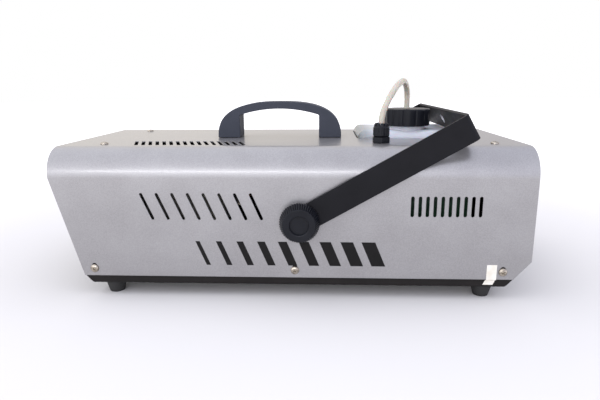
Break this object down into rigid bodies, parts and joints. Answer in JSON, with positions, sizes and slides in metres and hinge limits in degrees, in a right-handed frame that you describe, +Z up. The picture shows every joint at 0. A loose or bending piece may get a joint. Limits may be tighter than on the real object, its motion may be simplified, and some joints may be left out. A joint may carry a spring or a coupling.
{
  "type": "fog machine",
  "caption": "Stage fog machine with a folded steel casing, nozzle, fluid tank with a feed tube, carrying handle and a hanging yoke clamped by two knobs.",
  "frame": {"origin": "on the floor under the middle of the casing", "axes": "+X towards the rear panel and the tank, -X towards the nozzle, +Z up, Y across the casing along the yoke's pivot axis"},
  "size_m": [0.45, 0.2604, 0.2044],
  "materials": {
    "silver_paint": "silver metallic paint, satin",
    "black_paint": "black powder coat, satin",
    "slate_plastic": "moulded slate-grey plastic, fine grain",
    "black_plastic": "moulded black plastic, satin",
    "black_rubber": "black rubber, matt",
    "tank_plastic": "natural polyethylene, slightly translucent",
    "silicone": "clear silicone, milky",
    "nickel": "nickel plate",
    "zinc": "zinc-plated steel",
    "cast_aluminium": "as cast",
    "brass": "machined brass",
    "copper": "drawn copper",
    "glass_wool": "woven glass-fibre quilt",
    "circuit_board": "green solder mask"
  },
  "bodies": {
    "root": {"base_tray": "black_paint", "carry_handle": "slate_plastic", "control_board": "circuit_board", "fluid_tank": "tank_plastic", "foot_front_far": "black_rubber", "foot_front_near": "black_rubber", "foot_rear_far": "black_rubber", "foot_rear_near": "black_rubber", "friction_washer_far": "black_rubber", "friction_washer_near": "black_rubber", "front_panel": "black_paint", "fuse_holder": "black_plastic", "gland_body": "black_plastic", "gland_dome_nut": "black_plastic", "gland_locknut": "black_plastic", "handle_screw_front": "nickel", "handle_screw_rear": "nickel", "heater_block": "cast_aluminium", "heater_bracket_front": "zinc", "heater_bracket_rear": "zinc", "heater_wrap": "glass_wool", "nozzle": "brass", "nozzle_ring": "nickel", "pivot_nut_far": "zinc", "pivot_nut_near": "zinc", "power_inlet": "black_plastic", "pump_body": "black_plastic", "pump_bracket": "zinc", "pump_pipe": "copper", "rear_panel": "black_paint", "relay": "black_plastic", "remote_socket": "nickel", "side_screw_front_far": "nickel", "side_screw_front_near": "nickel", "side_screw_middle_far": "nickel", "side_screw_middle_near": "nickel", "side_screw_rear_far": "nickel", "side_screw_rear_near": "nickel", "suction_filter": "brass", "suction_tube": "silicone", "switch_frame": "black_plastic", "thermal_fuse": "nickel", "thermostat": "nickel", "top_cover": "silver_paint", "top_screw_front_far": "nickel", "top_screw_front_near": "nickel", "top_screw_rear_far": "nickel", "top_screw_rear_near": "nickel", "transformer": "zinc"},
    "yoke": {"yoke_bracket": "black_paint"},
    "near_knob": {"knob_near": "black_plastic", "knob_stud_near": "zinc"},
    "far_knob": {"knob_far": "black_plastic", "knob_stud_far": "zinc"},
    "liner": {"cap_liner": "black_rubber"},
    "cap": {"tank_cap": "black_plastic"},
    "rocker": {"switch_rocker": "black_plastic"},
    "fuse": {"fuse_cap": "black_plastic"},
    "plunger": {"pump_plunger": "zinc"}
  },
  "joints": [
    {"name": "yoke_tilt", "type": "hinge", "parent": "root", "child": "yoke", "pos_m": [0.011, 0, 0.0765], "axis": [0, -1, 0], "range_deg": [0, 123.6]},
    {"name": "near_knob_turn", "type": "hinge", "parent": "root", "child": "near_knob", "pos_m": [0.011, -0.117, 0.0765], "axis": [0, -1, 0], "continuous": true},
    {"name": "far_knob_turn", "type": "hinge", "parent": "root", "child": "far_knob", "pos_m": [0.011, 0.117, 0.0765], "axis": [0, 1, 0], "continuous": true},
    {"name": "cap_lift", "type": "slide", "parent": "root", "child": "liner", "axis": [0, 0, 1], "range_m": [0, 0.006]},
    {"name": "cap_turn", "type": "hinge", "parent": "liner", "child": "cap", "pos_m": [0.1224, 0, 0.1665], "axis": [0, 0, 1], "range_deg": [0, 540]},
    {"name": "switch_rock", "type": "hinge", "parent": "root", "child": "rocker", "pos_m": [0.2131, -0.072, 0.1], "axis": [0, -1, 0], "range_deg": [0, 22]},
    {"name": "fuse_cap_turn", "type": "hinge", "parent": "root", "child": "fuse", "pos_m": [0.2139, -0.044, 0.1], "axis": [1, 0, 0], "range_deg": [0, 90]},
    {"name": "plunger_stroke", "type": "slide", "parent": "root", "child": "plunger", "axis": [0, 1, 0], "range_m": [0, 0.003], "stiffness_N_per_m": 400}
  ],
  "couplings": [
    {"joint": "cap_lift", "follows": "cap_turn", "m_per_rad": 0.000636}
  ]
}
